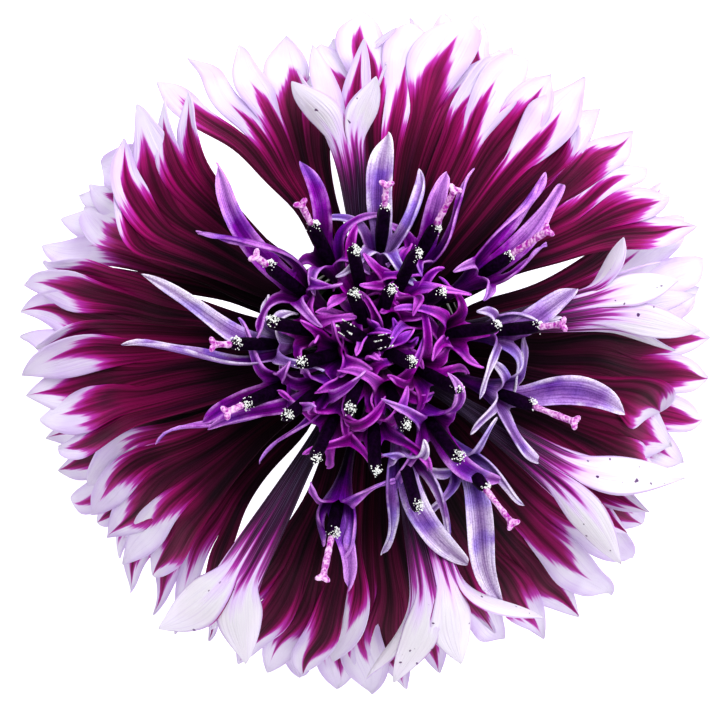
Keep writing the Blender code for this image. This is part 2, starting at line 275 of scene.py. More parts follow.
# %% List the ray florets
STOREYS = (
    {"seat": 4.2, "shoulder": 15.9, "arch": (14.6, 16.3), "tip": 0.5, "reach": 22.6},
    {"seat": 3.5, "shoulder": 17.3, "arch": (13.6, 18.7), "tip": 6.2, "reach": 22.0},
    {"seat": 2.8, "shoulder": 18.6, "arch": (11.0, 20.4), "tip": 13.4, "reach": 20.8},
)
RAYS = (
    ("a", 187, 2, 23, 58, 0.58, (
        (180.5, 22.1, 12.0, 0.9), (184.4, 23.0, 10.6, 1.1), (188.7, 22.9, 10.4, 1.25),
        (193.6, 22.1, 10.8, 1.1), (198.2, 21.6, 11.0, 1.0))),
    ("b", 176, 1, 26, 24, 0.48, (
        (166.8, 22.4, 5.2, 1.0), (170.4, 23.2, 4.4, 1.2), (174.6, 23.5, 4.2, 1.4),
        (178.8, 23.2, 4.8, 1.2), (183.8, 22.0, 6.0, 1.0))),
    ("c", 155, 0, 27, 16, 0.42, (
        (150.0, 21.3, 1.6, 1.1), (154.0, 22.0, 0.9, 1.2), (158.0, 22.4, 0.4, 1.3),
        (162.3, 22.7, 0.5, 1.2), (166.6, 22.2, 1.5, 1.1))),
    ("d", 148, 1, 21, 30, 0.48, (
        (141.6, 20.6, 6.6, 1.1), (146.0, 21.4, 5.4, 1.25), (150.2, 21.8, 5.2, 1.25),
        (154.5, 20.9, 6.0, 1.1))),
    ("e", 146, 2, 26, 52, 0.58, (
        (126.6, 20.6, 13.8, 0.8), (130.0, 21.0, 13.0, 0.9), (134.6, 22.3, 12.0, 1.7),
        (140.4, 21.4, 12.2, 1.2), (145.0, 20.2, 13.2, 1.0))),
    ("f", 112, 0, 30, 12, 0.42, (
        (91.2, 21.0, 8.6, 0.8), (100.4, 20.4, 5.2, 1.1), (106.7, 21.2, 3.4, 1.6),
        (113.4, 21.6, 2.2, 1.1), (119.4, 22.9, 1.0, 1.0), (124.6, 22.5, 0.8, 1.0))),
    ("g", 97, 2, 29, 180, 0.45, (
        (89.2, 17.4, 20.6, 1.4), (87.0, 18.4, 17.0, 0.8), (92.0, 20.0, 13.6, 1.2),
        (101.5, 20.0, 13.4, 1.2), (105.0, 18.6, 17.0, 0.8), (107.0, 17.8, 20.6, 1.5))),
    ("h", 84, 1, 27, 22, 0.48, (
        (68.6, 21.2, 6.6, 1.0), (75.0, 22.4, 5.2, 1.6), (82.0, 21.4, 5.4, 1.2),
        (90.3, 22.1, 5.6, 1.3), (96.6, 20.0, 7.6, 1.0))),
    ("i", 71, 0, 26, 12, 0.42, (
        (62.0, 21.0, 2.0, 1.1), (66.6, 21.8, 1.0, 1.1), (71.8, 23.1, 0.4, 1.3),
        (76.4, 22.3, 0.6, 1.1), (80.8, 21.9, 1.4, 1.0))),
    ("j", 58, 2, 25, 44, 0.58, (
        (47.4, 19.9, 14.0, 1.0), (52.0, 22.4, 12.2, 1.5), (57.2, 21.3, 12.2, 1.1),
        (62.4, 21.2, 12.6, 1.1), (67.2, 20.4, 13.4, 0.9))),
    ("k", 37, 1, 30, 18, 0.48, (
        (21.8, 22.8, 6.2, 1.3), (28.0, 22.0, 5.2, 1.1), (33.4, 21.7, 4.8, 1.1),
        (38.4, 22.2, 4.6, 1.3), (44.4, 21.9, 5.4, 1.1), (49.8, 21.3, 6.4, 1.0))),
    ("l", 13, 0, 22, 16, 0.42, (
        (11.0, 22.0, 1.8, 1.1), (15.6, 22.8, 0.6, 1.3), (21.4, 22.6, 0.4, 1.3),
        (27.0, 21.6, 1.6, 1.1))),
    ("m", 9, 2, 36, 180, 0.5, (
        (2.6, 21.3, 17.0, 1.2), (-1.6, 19.8, 14.4, 0.9), (2.6, 20.8, 13.2, 1.1),
        (8.8, 21.4, 12.6, 1.1), (16.0, 19.6, 14.4, 1.0), (23.8, 17.7, 17.4, 1.7),
        (11.4, 20.3, 18.6, 1.2))),
    ("n", 355, 0, 27, -8, 0.42, (
        (-17.4, 21.9, 1.8, 1.1), (-11.4, 22.6, 0.6, 1.2), (-5.6, 22.9, 0.3, 1.2),
        (0.2, 22.8, 0.5, 1.2), (6.0, 22.1, 1.8, 1.1))),
    ("o", 339, 1, 24, 34, 0.48, (
        (-28.4, 19.6, 6.8, 1.0), (-23.8, 20.4, 5.8, 1.1), (-19.4, 20.9, 5.8, 1.3),
        (-14.2, 19.8, 8.6, 1.4))),
    ("p", 326, 2, 36, 180, 0.5, (
        (-41.2, 21.5, 16.8, 1.2), (-42.2, 19.8, 14.2, 1.0), (-36.4, 20.8, 12.8, 1.1),
        (-31.0, 21.2, 12.4, 1.1), (-26.4, 20.8, 13.6, 1.0), (-22.9, 22.2, 15.8, 1.3))),
    ("q", 308, 0, 30, 10, 0.42, (
        (-62.0, 21.6, 1.8, 1.1), (-57.0, 22.4, 0.7, 1.1), (-51.8, 22.6, 0.3, 1.2),
        (-46.8, 22.6, 0.3, 1.2), (-42.0, 22.4, 0.8, 1.1), (-37.0, 21.4, 2.0, 1.1))),
    ("r", 285, 2, 34, 180, 0.6, (
        (-86.1, 21.9, 16.4, 1.35), (-91.4, 21.8, 14.6, 1.0), (-84.0, 20.6, 12.8, 1.0),
        (-76.0, 21.0, 12.2, 1.1), (-67.0, 20.6, 13.0, 1.0), (-57.6, 21.0, 15.2, 1.0),
        (-74.6, 21.5, 16.8, 1.45))),
    ("s", 268, 0, 27, 14, 0.42, (
        (-99.6, 22.6, 1.6, 1.1), (-94.6, 23.1, 0.6, 1.3), (-90.2, 23.5, 0.3, 1.3),
        (-85.6, 23.0, 0.5, 1.2), (-81.0, 22.4, 1.6, 1.1))),
    ("t", 256, 1, 26, 20, 0.48, (
        (-117.6, 21.8, 6.0, 1.0), (-112.2, 22.7, 4.8, 1.2), (-107.6, 22.6, 4.8, 1.2),
        (-102.8, 22.2, 5.2, 1.1), (-98.2, 21.4, 6.4, 1.0))),
    ("u", 240, 2, 27, 180, 0.66, (
        (-127.0, 23.2, 14.6, 1.5), (-125.0, 20.8, 12.6, 0.9), (-121.4, 21.0, 11.4, 0.9),
        (-118.0, 21.0, 11.2, 0.9), (-114.0, 20.8, 12.4, 0.9), (-111.4, 22.4, 14.8, 1.5))),
    ("v", 224, 0, 22, 12, 0.42, (
        (-137.6, 22.0, 1.8, 1.1), (-133.4, 23.0, 0.6, 1.2), (-129.4, 23.3, 0.3, 1.2),
        (-125.4, 23.1, 0.6, 1.1), (-121.6, 22.4, 1.6, 1.0))),
    ("w", 213, 1, 27, 22, 0.48, (
        (-152.6, 21.0, 6.2, 1.0), (-148.2, 21.8, 5.2, 1.1), (-143.8, 21.8, 4.8, 1.3),
        (-139.2, 22.0, 5.2, 1.1), (-134.8, 21.2, 6.2, 1.0))),
    ("x", 202, 0, 24, 12, 0.42, (
        (-167.2, 21.8, 1.8, 1.1), (-162.6, 22.5, 0.7, 1.2), (-158.4, 22.8, 0.3, 1.2),
        (-154.0, 22.4, 0.5, 1.2), (-149.6, 21.8, 1.6, 1.1))),
)
print(len(RAYS), "ray florets,", sum(len(row[-1]) for row in RAYS), "lobes")

# %% [markdown]
# The disc florets stand up in a dome. Each row holds a floret's direction round the head, how far
# out its column of anthers ends, how far its style stands out of that column, and the tips of those
# of its lobes that grew longer than the rest: direction, reach, height and breadth.

# %% List the disc florets
DISC = (
    (13, 0.9, 0.0, ()),
    (149, 2.1, 0.0, ()),
    (333, 2.9, 0.0, ()),
    (195, 4.9, 0.0, ()),
    (250, 4.6, 0.0, ()),
    (291, 5.7, 0.0, ()),
    (38, 5.6, 0.0, ()),
    (332, 6.3, 0.0, ()),
    (72, 3.9, 0.0, ()),
    (112, 3.6, 0.0, ()),
    (102, 6.3, 0.0, ()),
    (168, 6.8, 0.0, ()),
    (8, 8.1, 0.0, ()),
    (271, 8.2, 0.0, ()),
    (243, 8.4, 0.0, ()),
    (307, 9.3, 0.0, ((-45.7, 12.2, 19.0, 1.3),)),
    (285, 11.0, 0.0, (
        (-66.6, 15.6, 18.0, 1.6), (-74.0, 15.0, 17.6, 1.5), (-88.0, 13.6, 18.0, 1.1))),
    (65, 6.6, 0.0, ()),
    (143, 9.4, 1.2, ((130.5, 15.6, 19.6, 1.6), (147.0, 13.5, 20.2, 1.2))),
    (220, 7.4, 0.0, ((207.0, 12.0, 20.6, 0.8), (226.0, 10.6, 20.4, 0.8))),
    (205, 10.3, 1.4, ((205.0, 12.2, 20.2, 1.0), (204.4, 15.6, 18.2, 1.2))),
    (180, 10.2, 1.4, ((163.1, 15.6, 19.4, 1.3), (180.5, 16.3, 19.0, 1.4))),
    (117, 10.1, 1.8, ((112.0, 12.6, 20.4, 1.1),)),
    (85, 10.3, 1.8, ((86.4, 13.6, 21.2, 1.7), (75.4, 11.8, 20.4, 1.4))),
    (62, 11.3, 3.2, ((60.0, 13.2, 21.0, 1.2), (66.6, 12.2, 21.0, 1.2))),
    (33, 13.5, 3.4, (
        (44.5, 15.9, 18.4, 1.4), (40.2, 16.2, 17.8, 1.4), (30.0, 13.0, 19.2, 0.9))),
    (6, 12.3, 1.8, ((14.8, 13.8, 19.6, 1.6), (10.2, 13.2, 19.0, 1.3))),
    (339, 14.0, 3.4, ((-34.1, 13.8, 19.4, 1.1), (-14.9, 17.0, 17.4, 1.8))),
    (308, 14.7, 3.4, ((-62.8, 18.6, 15.4, 1.9), (-47.0, 14.4, 17.4, 1.2))),
    (258, 15.4, 3.2, (
        (-95.5, 15.9, 17.4, 1.1), (-97.2, 14.2, 18.0, 1.2), (-104.0, 13.4, 17.6, 1.1))),
)
print(len(DISC), "disc florets")

# %% [markdown]
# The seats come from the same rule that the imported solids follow, so each visible floret grows
# from the spot where its solid does. They could be listed as numbers, but the rule is shorter, and
# it keeps every pair of florets apart by itself.

# %% Find the seats
RECEPTACLE_TOP = 5.0
SEAT_GAP = 0.12
SEAT_APART = 0.86
SEAT_LIMIT = 4.2
SEAT_ROUNDS = 400
CROWDING = 0.17
STRAIGHT_TO = 13.0


def outward(azimuth):
    return Vector((cos(radians(azimuth)), sin(radians(azimuth)), 0))


def find_seats():
    spots = [outward(row[1]) * STOREYS[row[2]]["seat"] for row in RAYS]
    spots += [outward(row[0]) * CROWDING * row[1] for row in DISC]
    for _ in range(SEAT_ROUNDS):
        for i, one in enumerate(spots):
            for other in spots[i + 1 :]:
                apart = other - one
                short = SEAT_APART - apart.length
                if short > 0:
                    apart.normalize()
                    one -= apart * short / 2
                    other += apart * short / 2
        for spot in spots:
            if spot.length > SEAT_LIMIT:
                spot *= SEAT_LIMIT / spot.length
    return spots[: len(RAYS)], spots[len(RAYS) :]


ray_seats, disc_seats = find_seats()
print("seats", len(ray_seats) + len(disc_seats))

# %% [markdown]
# A floret is a tube that opens into lobes. It could be sculpted, or lofted from rings. Here it is
# a grid, slit between the lobes, that is rolled along a curve: a grid keeps its rows and columns,
# so the colour pattern can follow the petal through its UV map. The curve runs straight up from the
# seat and then bends over, and it hands out a point and a direction for any distance along it.

# %% Draw the line of a floret
def on_curve(t, one, two, three, four):
    """A point of the curve that leaves one towards two and comes to four from three."""
    s = 1 - t
    return one * s**3 + two * 3 * t * s * s + three * 3 * t * t * s + four * t**3


LINE_STEPS = 60


class Line:
    """A floret's line from its seat up through the cup's mouth and along a bend to its end."""

    def __init__(self, seat, shoulder, arch, end):
        mouth = seat + Vector((0, 0, STRAIGHT_TO))
        self.points = [seat + Vector((0, 0, RECEPTACLE_TOP + SEAT_GAP))]
        for step in range(LINE_STEPS + 1):
            self.points.append(on_curve(step / LINE_STEPS, mouth, shoulder, arch, end))
        self.lengths = [0.0]
        for one, other in zip(self.points, self.points[1:]):
            self.lengths.append(self.lengths[-1] + (other - one).length)
        self.length = self.lengths[-1]

    def direction(self, leg):
        leg = min(max(leg, 0), len(self.points) - 2)
        return (self.points[leg + 1] - self.points[leg]).normalized()

    def at(self, along):
        """(point, direction) at a distance from the seat; past the end it runs straight on."""
        last = len(self.points) - 2
        leg = next((i for i in range(last) if self.lengths[i + 1] >= along), last)
        span = self.lengths[leg + 1] - self.lengths[leg]
        share = (along - self.lengths[leg]) / span
        turn = share - 0.5
        other = self.direction(leg + 1 if turn > 0 else leg - 1)
        mixed = self.direction(leg).lerp(other, min(abs(turn), 0.5)).normalized()
        return self.points[leg].lerp(self.points[leg + 1], share), mixed


upright_line = Line(*[Vector((0, 0, height)) for height in (0, 15, 16, 17)])
print("an upright line is", round(upright_line.length, 1), "mm long")

# %% [markdown]
# The roll turns a flat strip into a closed tube or a shallow trough: the strip's half width and the
# angle that its sides wrap through give the radius. Each lobe then leaves the end of the strip on a
# smooth curve of its own to its tip. Its outline swells or has a waist and then draws to a point,
# its middle is folded a little like a leaf, and its edges ripple, each by its own share, because no
# two petals on a real flower are alike. Then slow noise drifts the petals, so that no row of tips
# is even. It starts from the clock unless it is given a seed, so it gets one, and each run grows
# the same flower.

# %% Roll a floret from a grid
LOWEST = 0.14
UV_PER_FLORET = 20
NOISE_SEED = 1
noise.seed_set(NOISE_SEED)


class Floret:
    """A tube that opens into lobes, drawn as a slit grid that is rolled along a line."""

    def __init__(self, seed, line, side, opens, notch, half_width, wrap, tips, look):
        self.line, self.side = line, side
        self.opens, self.notch = opens, notch
        self.half_width, self.wrap = half_width, wrap
        self.tips, self.look = tips, look
        self.chance = random.Random(seed)
        self.index = seed

    def frame_at(self, along):
        point, direction = self.line.at(along)
        normal = direction.cross(self.side).normalized()
        return point, direction, normal.cross(direction), normal

    def spot(self, along, across):
        """The place of a point of the strip; across runs from -1 to 1. Rows bow like arcs."""
        half = self.half_width(along)
        slope = (self.half_width(along + 0.1) - half) / 0.1
        wrap = self.wrap(along)
        bow = half * atan(slope) / 2 * (1 - wrap / pi)
        point, _, side, normal = self.frame_at(along - bow * across * across)
        if abs(wrap) < 1e-3:
            return point + side * half * across
        radius = half / wrap
        turn = across * wrap
        rise = (0 if self.look["centred"] else 1) - cos(turn)
        return point + side * radius * sin(turn) + normal * radius * rise

    def lobe_spot(self, lobe, t, local):
        """The place of a point of a lobe: t runs from 0 to 1 at its tip, local from -1 to 1."""
        habit = self.habits[lobe]
        count = len(self.tips)
        middle = (2 * lobe + 1) / count - 1
        foot = self.spot(self.notch, middle)
        edge = self.spot(self.notch, middle + local / count)
        rise = (foot - self.spot(self.notch - 0.4, middle)).normalized()
        side = self.spot(self.notch, middle + 0.5 / count)
        side -= self.spot(self.notch, middle - 0.5 / count)
        tip, breadth = self.tips[lobe]
        span = (tip - foot).length
        ending = ((tip - foot) / span + habit["curl"]).normalized()
        one, two = foot + rise * span * 0.36, tip - ending * span * 0.3
        point = on_curve(t, foot, one, two, tip)
        heading = (one - foot) * (1 - t) ** 2 + (two - one) * 2 * t * (1 - t) + (tip - two) * t * t
        heading.normalize()
        side = (side - heading * side.dot(heading)).normalized()
        normal = heading.cross(side)
        turn = habit["twist"] * t
        side, normal = side * cos(turn) + normal * sin(turn), normal * cos(turn) - side * sin(turn)
        outline = (1 - t * t) ** habit["point"] * (1 + self.look["swell"] * t)
        outline *= 1 - self.look["waist"] * min(1, 2.5 * t)
        outline *= 1 + (breadth - 1) * min(1, 2.2 * t)
        offset = edge - foot
        out, up = offset.dot(side), offset.dot(normal)
        half = abs(self.half_width(self.notch)) / count
        lift = up * outline * (1 - t)
        lift += habit["fold"] * half * outline * local * local * min(1, 2 * t)
        wave = sin(2 * pi * (habit["beat"] * t + habit["phase"]))
        lift += habit["ripple"] * half * wave * abs(local) * local * t
        lift += habit["layer"] * min(1, 3 * t)
        wander = habit["sway"] * sin(pi * t) * (half + self.look["bend"] * span)
        width = out * max(outline, 0.03) if t < 1 else local * 0.02
        return point + side * (width + wander) + normal * lift

    def settle_habits(self):
        """Gives each lobe its own fold, ripple, twist and curl."""
        pick, look = self.chance.uniform, self.look
        self.habits = []
        loose = look["loose"]
        for lobe in range(len(self.tips)):
            sideways, forward, up = pick(-0.22, 0.22), pick(-0.22, 0.22), pick(-0.25, 0.25)
            self.habits.append({
                "curl": Vector((sideways, forward, look["curl"] + up)) * loose,
                "twist": pick(-0.35, 0.35) * loose,
                "point": pick(*look["point"]),
                "fold": pick(*look["fold"]),
                "ripple": pick(0.05, look["ripple"]),
                "beat": pick(1.2, 2.4),
                "phase": pick(0, 1),
                "layer": look["layer"] * (1 if lobe % 2 else -1),
                "sway": pick(-0.35, 0.35) * loose,
            })

    def build(self, rows, columns):
        """rows: how many in the tube, the limb and each lobe. columns: how many in each lobe."""
        self.settle_habits()
        tube, limb, lobe_rows = rows
        total, count = sum(rows), len(self.tips)
        bm = bmesh.new()
        bmesh.ops.create_grid(bm, x_segments=count * columns, y_segments=total, size=0.5)
        strand = bm.loops.layers.uv.new("strand")

        def row_of(vert):
            return round((vert.co.y + 0.5) * total)

        def along_of(row):
            """-1 to 0 up the tube, 0 to 1 along the limb and 1 to 2 along a lobe."""
            if row <= tube:
                return row / tube - 1
            if row <= tube + limb:
                return (row - tube) / limb
            return 1 + (row - tube - limb) / lobe_rows

        for face in bm.faces:
            for loop in face.loops:
                u = (loop.vert.co.x + 0.5) * count + UV_PER_FLORET * self.index
                loop[strand].uv = (u, along_of(row_of(loop.vert)))
        slits = []
        for edge in bm.edges:
            one, other = edge.verts
            column = (one.co.x + 0.5) * count * columns
            upright = abs(one.co.x - other.co.x) < 1e-5
            between = round(column) % columns == 0 and not edge.is_boundary
            if upright and between and min(row_of(one), row_of(other)) >= tube + limb:
                slits.append(edge)
        bmesh.ops.split_edges(bm, edges=slits)
        placed = []
        for vert in bm.verts:
            step, across = along_of(row_of(vert)), 2 * vert.co.x
            if step <= 0:
                placed.append(self.spot(self.opens * (step + 1), across))
            elif step <= 1:
                placed.append(self.spot(self.opens + (self.notch - self.opens) * step, across))
            else:
                beside = vert.link_faces[0].calc_center_median().x
                lobe = min(int((beside + 0.5) * count), count - 1)
                middle = (2 * lobe + 1) / count - 1
                placed.append(self.lobe_spot(lobe, step - 1, (across - middle) * count))
        for vert, place in zip(bm.verts, placed):
            drift = noise.noise_vector(place * 0.22 + Vector((self.index, 0, 0)))
            drift *= self.look["drift"]
            vert.co = place + drift * min(1, max(0, place.xy.length / 9 - 0.6))
            vert.co.z = max(vert.co.z, LOWEST)
        bmesh.ops.remove_doubles(bm, verts=bm.verts, dist=1e-4)
        bmesh.ops.reverse_faces(bm, faces=bm.faces)
        return bm


def as_piece(bm, name, materials, node=None):
    """Turns a bmesh drawn in millimetres into a piece that rides on the head."""
    bmesh.ops.scale(bm, vec=(MM, MM, MM), verts=bm.verts)
    mesh = bpy.data.meshes.new(name)
    bm.to_mesh(mesh)
    bm.free()
    for material in materials:
        mesh.materials.append(material)
    mesh.shade_smooth()
    piece = bpy.data.objects.new(name, mesh)
    bpy.context.scene.collection.objects.link(piece)
    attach(piece, "root")
    if node:
        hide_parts(node)
    return piece


def round_off(piece):
    soft = piece.modifiers.new("soft", "SUBSURF")
    soft.levels = soft.render_levels = 1


def give_wall(piece, thickness, inner=0):
    """Gives a sheet its wall; the far side takes the material that many slots on. Rounds it off."""
    wall = piece.modifiers.new("wall", "SOLIDIFY")
    wall.thickness = thickness * MM
    wall.offset = 0
    wall.material_offset = inner
    round_off(piece)


print("floret builder ready")

# %% [markdown]
# The face of a ray floret is what makes this flower: near-black maroon at the foot, richer maroon
# further out, and flames of it that lick into white lobes with a magenta fringe. The near-black at
# the foot is partly the petal's own maroon and partly painted shade for the deep inside of the
# head.
# Painting it would fix it to one petal. Here one value, how far a point lies inside the flame's
# edge, is worked out from the petal's own across and along values, and a ramp colours it. Each lobe
# draws its own dice for how far its flame reaches and to which side it leans, and a few lobes stay
# nearly white. Fine noise that is stretched along the petal draws the streaks and the veins. Over
# the maroon go slow patches of painted shade, and more painted shade on the side away from the
# lamp.

# %% Mix the face of the ray florets
REDDER_WAY = (2.5, -8.0, 0.0)
# The way in which painted shade on the maroon grows, away from the high lamp.
SHADED_SIDE_WAY = (-20.0, -26.0, 0.0)
FLAME_REACH = 1.34
SPIKE_POINT = 1.9
PETAL_GRAIN = 0.00012
THROUGH_PETAL = (0.92, 0.86, 0.97)


def flame_depth(tree, across, along, place):
    """How far inside the flame's edge a point lies; below 0 it is outside."""
    lobe, local = in_lobe(across)
    leaning, reach, white = tree.node("ShaderNodeSeparateXYZ", sockets={0: tree.dice(lobe)[1]})
    aside = (local - (leaning - 0.5) * 0.4).maths("ABSOLUTE")
    spike = (1 - aside).maths("MAXIMUM", 0.0) ** SPIKE_POINT * (reach * 0.42 + 0.20)
    floret = (across / UV_PER_FLORET).maths("FLOOR") + 0.5
    redder = tree.toward(place, REDDER_WAY) + (tree.dice(floret)[0] - 0.5) * 0.2
    redder = redder - white.over(0.72, 0.8) * 0.32
    streak = tree.noise_at(across * 3.1, along * 0.5, 0.0, 1.0) - 0.5
    fine = tree.noise_at(across * 8, along * 0.7, 3.0, 2.5) - 0.5
    return spike + FLAME_REACH + redder + streak * 0.30 + fine * 0.42 - along


def mix_ray_face():
    tree = Tree("ray_face")
    across, along, place = strand_of(tree)
    depth = flame_depth(tree, across, along, place)
    # The near-black last stops are partly the petal's own dark maroon and partly painted shade for
    # the deep inside of the head.
    colour = tree.ramp(
        depth * 0.5 + 0.5,
        (0.34, (0.84, 0.77, 0.95)),
        (0.43, (0.72, 0.46, 0.88)),
        (0.475, (0.50, 0.04, 0.44)),
        (0.54, (0.33, 0.002, 0.14)),
        (0.68, (0.22, 0.001, 0.075)),
        (0.99, (0.035, 0.0004, 0.018)),
    )
    streak = tree.noise_at(across * 8.5, along * 0.7, 7.0, 3.0).over(0.36, 0.62)
    dark_streak = (1 - streak) * depth.over(-0.1, 0.15)
    colour = tree.blend(dark_streak, colour, (0.36, 0.25, 0.32), "MULTIPLY")
    # Painted shade over the maroon: slow patches of it, as where florets shade each other, and more
    # of it on the side away from the high lamp.
    shade = tree.noise_on(place, 140.0, 1.0).over(0.36, 0.64)
    side_shade = tree.toward(place, SHADED_SIDE_WAY).maths("MAXIMUM", 0.0)
    shade = ((1 - shade) * 0.75 + side_shade).clamped()
    colour = tree.blend(shade * depth.over(0.05, 0.3), colour, (0.36, 0.34, 0.40), "MULTIPLY")
    pale = (0 - depth).over(0.02, 0.14)
    veins = tree.noise_at(across * 30, along * 1.6, 11.0, 1.0).over(0.55, 0.75)
    clouds = tree.noise_on(place, 260.0, 2.0).over(0.35, 0.7) * 0.5
    edge = in_lobe(across)[1].maths("ABSOLUTE").over(0.5, 1.0)
    tint = (veins * 0.35 + clouds + edge * 0.55).clamped()
    white = tree.blend(tint, (0.87, 0.81, 0.96), (0.66, 0.50, 0.84))
    face = tree.blend(pale, colour, white)
    tree.set(Base_Color=face, Roughness=0.72 - streak * 0.1, Specular_IOR_Level=0.12)
    tree.bump(tree.noise_at(across * 22, along * 2.2, 5.0, 2.0), PETAL_GRAIN, 0.7)
    tree.let_light_through(THROUGH_PETAL, pale * 0.22 + 0.004)
    return tree.material


def mix_ray_back():
    """The back of a ray floret: pale lilac with a violet rim, and dark streaks at its foot."""
    tree = Tree("ray_back")
    across, along, place = strand_of(tree)
    aside = in_lobe(across)[1].maths("ABSOLUTE")
    streak = tree.noise_at(across * 3.6, along * 0.4, 2.0, 2.0)
    depth = 1.1 + (streak - 0.5) * 1.3 - along
    colour = tree.ramp(
        depth * 0.5 + 0.5,
        (0.34, (0.93, 0.89, 0.98)),
        (0.48, (0.72, 0.54, 0.88)),
        (0.54, (0.40, 0.03, 0.36)),
        (0.60, (0.14, 0.002, 0.10)),
        (0.68, (0.04, 0.001, 0.035)),
        (0.90, (0.010, 0.001, 0.014)),
    )
    rim = (aside.over(0.8, 1.0) * along.over(0.8, 1.3) * 0.75).clamped()
    colour = tree.blend(rim, colour, (0.36, 0.10, 0.55))
    veins = tree.noise_at(across * 26, along * 1.3, 4.0, 1.0).over(0.5, 0.72) * 0.22
    colour = tree.blend(veins, colour, (0.55, 0.40, 0.75))
    specks = tree.noise_on(place, 2300.0, 0.0).over(0.80, 0.82)
    colour = tree.blend(specks * along.over(1.0, 1.3), colour, (0.10, 0.03, 0.14))
    tree.set(Base_Color=colour, Roughness=0.6, Specular_IOR_Level=0.2)
    tree.bump(tree.noise_at(across * 24, along * 1.6, 9.0, 2.0), PETAL_GRAIN, 0.7)
    tree.let_light_through(THROUGH_PETAL, (0.1 - depth).over(0.0, 0.5) * 0.25)
    return tree.material


ray_face, ray_back = mix_ray_face(), mix_ray_back()
print("ray petal materials:", ray_face.name, ray_back.name)

# %% [markdown]
# The ray florets follow. The open ones unroll from their tube into a nearly flat fan. Most have
# a wide mouth just past the cup, which closes the ring of petals round the dome. A few have a slim
# one, and there the table shows between two petals. The funnels stay rolled right round to their
# lobes, so one looks at the pale backs of the near lobes and past them into the dark mouth.
# Each storey opens, spreads and broadens by its own share, as the lower petals have more room.

# %% Grow the ray florets
OPENS = (9.4, 10.8, 12.0)
FANS_FROM = 12.8
TUBE_HALF_WIDTH = 1.3
FAN_SHARE = 0.86
SPREADS = (1.3, 1.15, 1.0)
BROADER = (1.1, 1.25, 1.36)
EARLY_MOUTH = 1.1
OWN_MOUTHS = {"e": 0.2, "k": 0.3, "q": 2.6, "t": 0.2, "w": 0.2} | dict.fromkeys("bcflv", 0.0)
RAY_LOOK = {
    "swell": 1.5, "point": (0.85, 1.2), "fold": (-0.05, 0.35), "ripple": 0.3, "bend": 0.0,
    "curl": -0.25, "loose": 1.2, "layer": 0.12, "drift": 0.5, "waist": 0.0, "centred": False,
}
RAY_ROWS = (6, 9, 9)
RAY_COLUMNS = 6
RAY_WALL = 0.16
FUNNEL_LOOK = RAY_LOOK | {
    "point": (1.05, 1.3), "curl": 0.05, "loose": 0.35, "ripple": 0.2, "drift": 0.2,
}


def grow_ray(row, seat, seed):
    """One ray floret from its row of the list."""
    name, azimuth, level, fan, wrap, share, tips = row
    storey = STOREYS[level]
    out = outward(azimuth)
    line = Line(
        seat,
        seat + Vector((0, 0, storey["shoulder"])),
        out * storey["arch"][0] + Vector((0, 0, storey["arch"][1])),
        out * storey["reach"] + Vector((0, 0, storey["tip"])),
    )
    notch = FANS_FROM + share * (line.length - FANS_FROM)
    spread = sin(radians(fan * FAN_SHARE))
    rolled = wrap == 180
    opens = FANS_FROM if rolled else OPENS[level]
    mouth = 0.0 if rolled else OWN_MOUTHS.get(name, EARLY_MOUTH)

    def half_width(along):
        throat = TUBE_HALF_WIDTH + mouth * (1 - exp(-max(0.0, along - opens) / 1.6))
        past = max(0.0, along - FANS_FROM)
        return hypot(throat, spread * past * past / (past + 0.6))

    def wrapped(along):
        end = radians(wrap)
        return end + (pi - end) * exp(-max(0.0, along - opens) / 1.3)

    middle = sum(tip[0] for tip in tips) / len(tips)
    places = []
    for direction, reach, height, breadth in tips:
        way = outward(middle + (direction - middle) * SPREADS[level])
        places.append((way * reach + Vector((0, 0, height)), breadth * BROADER[level]))
    side = Vector((-out.y, out.x, 0))
    look = FUNNEL_LOOK if rolled else RAY_LOOK
    floret = Floret(seed, line, side, opens, notch, half_width, wrapped, places, look)
    sheet = floret.build(RAY_ROWS, RAY_COLUMNS)
    finishes = (ray_face, ray_back)
    piece = as_piece(sheet, "ray_" + name, finishes, "ray_floret_" + name)
    give_wall(piece, RAY_WALL, inner=1)
    return piece


def faces_of(pieces):
    return sum(len(piece.data.polygons) for piece in pieces)


rays = [grow_ray(row, seat, seed) for seed, (row, seat) in enumerate(zip(RAYS, ray_seats), 1)]
print(len(rays), "ray florets,", faces_of(rays), "faces before their walls")

# %% [markdown]
# A disc floret is a narrow tube that flares into a small cup with five thin lobes. It grows
# from the same builder, rolled right round to its lobes. The lobes are violet, paler at their
# tips, with fine dark veins and patches of a cooler blue. Towards the throat they darken to near
# black, which is partly the floret's own deep violet and partly painted shade down in the tube.
# The middle of each lobe carries painted shade in its fold, and its edges near the tip a painted
# highlight. The outer ones fade to lilac and nearly to white, so one recipe is mixed three times
# from three sets of colours.

# %% Mix the disc petals
PURPLE_GLOSS = (0.62, 0.16, 0.80)


